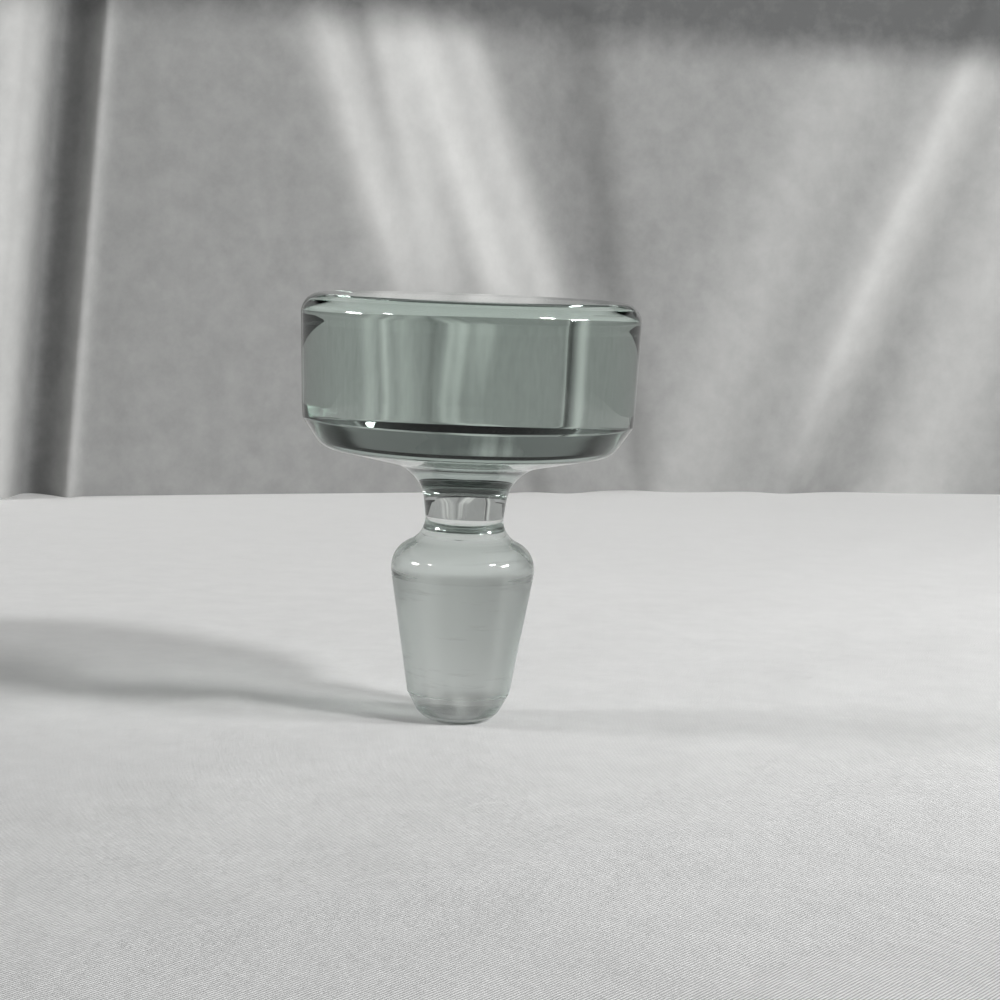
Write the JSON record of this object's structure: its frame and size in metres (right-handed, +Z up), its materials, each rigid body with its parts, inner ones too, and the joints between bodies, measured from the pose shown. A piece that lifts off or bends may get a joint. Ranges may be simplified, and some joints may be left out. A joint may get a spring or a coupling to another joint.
{
  "type": "glass stopper",
  "caption": "Solid glass stopper for a bottle or decanter: a thick flat-topped round head, a waisted neck and a ground conical plug.",
  "frame": {"origin": "middle of the flat standing face at the small end of the plug", "axes": "+Z up the axis of turning, from the plug to the head; X and Y are level and interchangeable"},
  "size_m": [0.067, 0.067, 0.084],
  "materials": {
    "glass": "fire-polished clear glass with a grey-green cast; the conical plug is ground and has fine rings and rub marks"
  },
  "bodies": {
    "root": {"stopper": "glass"}
  },
  "joints": []
}
